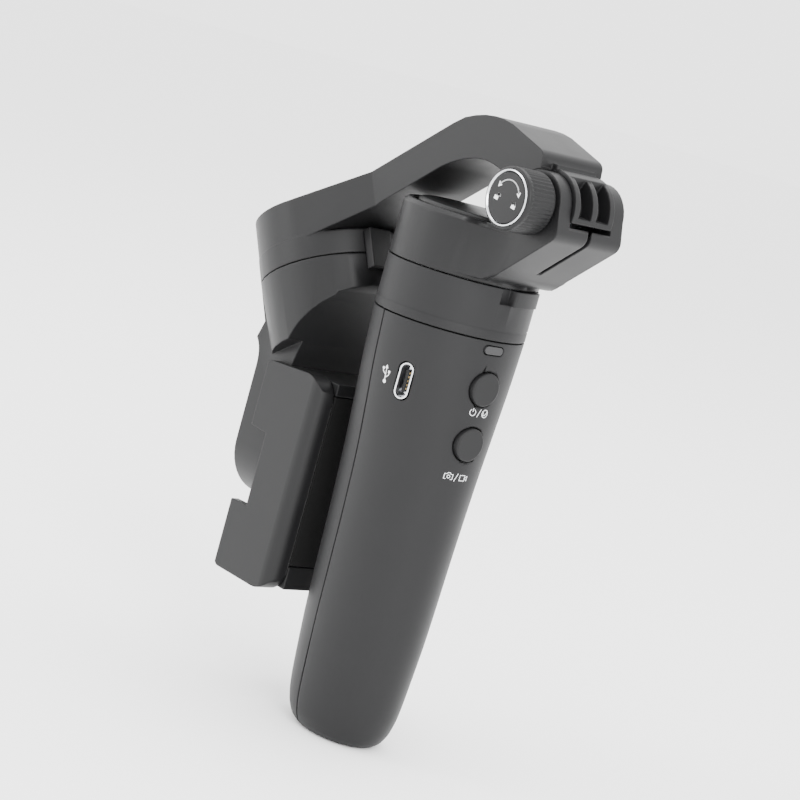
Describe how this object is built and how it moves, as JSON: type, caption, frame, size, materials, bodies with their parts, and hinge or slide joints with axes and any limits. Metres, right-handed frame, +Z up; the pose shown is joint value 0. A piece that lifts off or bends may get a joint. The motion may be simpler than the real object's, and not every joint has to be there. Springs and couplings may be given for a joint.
{
  "type": "camera gimbal",
  "caption": "Folding three-axis handheld camera gimbal with a hinged arm, locking knob and spring phone clamp, shown folded.",
  "frame": {"origin": "centre of the flat foot at the handle's base, on the pan axis", "axes": "+Z up the handle along the pan axis, +X towards the hinge and the buttons, -Y towards the locking knob"},
  "size_m": [0.0931, 0.0418, 0.1376],
  "materials": {
    "shell_plastic": "fine satin moulded charcoal plastic",
    "arm_plastic": "satin charcoal plastic",
    "button_plastic": "matte plastic",
    "black_rubber": "soft black rubber",
    "socket_metal": "bright tinned steel",
    "steel": "turned steel",
    "motor_core": "coated laminations",
    "magnet": "nickel plated magnet",
    "circuit_board": "solder mask",
    "battery_wrap": "shrink wrap",
    "brass": "turned brass",
    "lamp_lens": "milky light pipe"
  },
  "bodies": {
    "handle": {"handle_shell": "shell_plastic", "handle_rear_cover": "shell_plastic", "upper_cover_screw": "steel", "lower_cover_screw": "steel", "tripod_insert": "brass", "battery_cell": "battery_wrap", "battery_carrier": "button_plastic", "controller_board": "circuit_board", "usb_socket": "socket_metal", "status_lamp": "lamp_lens", "power_switch": "socket_metal", "shutter_switch": "socket_metal", "pan_collar": "shell_plastic", "pan_stator_core": "motor_core", "pan_bearing": "steel"},
    "power_button": {"power_button": "button_plastic"},
    "shutter_button": {"shutter_button": "button_plastic"},
    "yoke": {"pan_yoke": "arm_plastic", "pan_magnet_ring": "magnet", "pan_shaft": "steel", "pan_cap": "arm_plastic", "hinge_nut": "steel"},
    "knob": {"hinge_knob": "arm_plastic", "knob_disc": "arm_plastic", "hinge_bolt": "steel"},
    "fold_arm": {"fold_arm": "arm_plastic", "fold_arm_cover": "arm_plastic", "hinge_bush": "steel", "roll_stator_core": "motor_core", "roll_bearing": "steel"},
    "roll_arm": {"roll_arm": "arm_plastic", "roll_magnet_ring": "magnet", "roll_shaft": "steel", "tilt_end_cap": "arm_plastic", "tilt_stator_core": "motor_core", "tilt_bearing": "steel"},
    "clamp": {"clamp_body": "arm_plastic", "clamp_back_plate": "arm_plastic", "clamp_side_pad": "black_rubber", "tilt_magnet_ring": "magnet", "tilt_shaft": "steel", "front_clamp_spring": "steel", "rear_clamp_spring": "steel", "fixed_jaw_pad": "black_rubber", "phone_rest_pad": "black_rubber"},
    "jaw": {"sliding_jaw": "arm_plastic", "sliding_jaw_pad": "black_rubber", "front_guide_tube": "steel", "rear_guide_tube": "steel"}
  },
  "joints": [
    {"name": "pan", "type": "hinge", "parent": "handle", "child": "yoke", "pos_m": [0, 0, 0.10425], "axis": [0, 0, 1], "range_deg": [-160, 160]},
    {"name": "fold", "type": "hinge", "parent": "yoke", "child": "fold_arm", "pos_m": [0.0245, 0, 0.1234], "axis": [0, 1, 0], "range_deg": [0, 110]},
    {"name": "roll", "type": "hinge", "parent": "fold_arm", "child": "roll_arm", "pos_m": [-0.039, 0, 0.0922], "axis": [-0.5373, 0, 0.8434], "range_deg": [-15, 15]},
    {"name": "tilt", "type": "hinge", "parent": "roll_arm", "child": "clamp", "pos_m": [-0.0322, 0, 0.0515], "axis": [1, 0, 0], "range_deg": [0, 95]},
    {"name": "jaw_slide", "type": "slide", "parent": "clamp", "child": "jaw", "axis": [0, 0, -1], "range_m": [0, 0.03], "stiffness_N_per_m": 150, "springref_m": -0.01, "deforming": ["front_clamp_spring", "rear_clamp_spring"]},
    {"name": "knob_turn", "type": "hinge", "parent": "yoke", "child": "knob", "pos_m": [0.0245, 0, 0.1234], "axis": [0, -1, 0], "range_deg": [0, 180]},
    {"name": "power_press", "type": "slide", "parent": "handle", "child": "power_button", "axis": [-1, 0, 0], "range_m": [0, 0.00025], "stiffness_N_per_m": 400, "springref_m": -0.0004},
    {"name": "shutter_press", "type": "slide", "parent": "handle", "child": "shutter_button", "axis": [-1, 0, 0], "range_m": [0, 0.00025], "stiffness_N_per_m": 400, "springref_m": -0.0004}
  ]
}
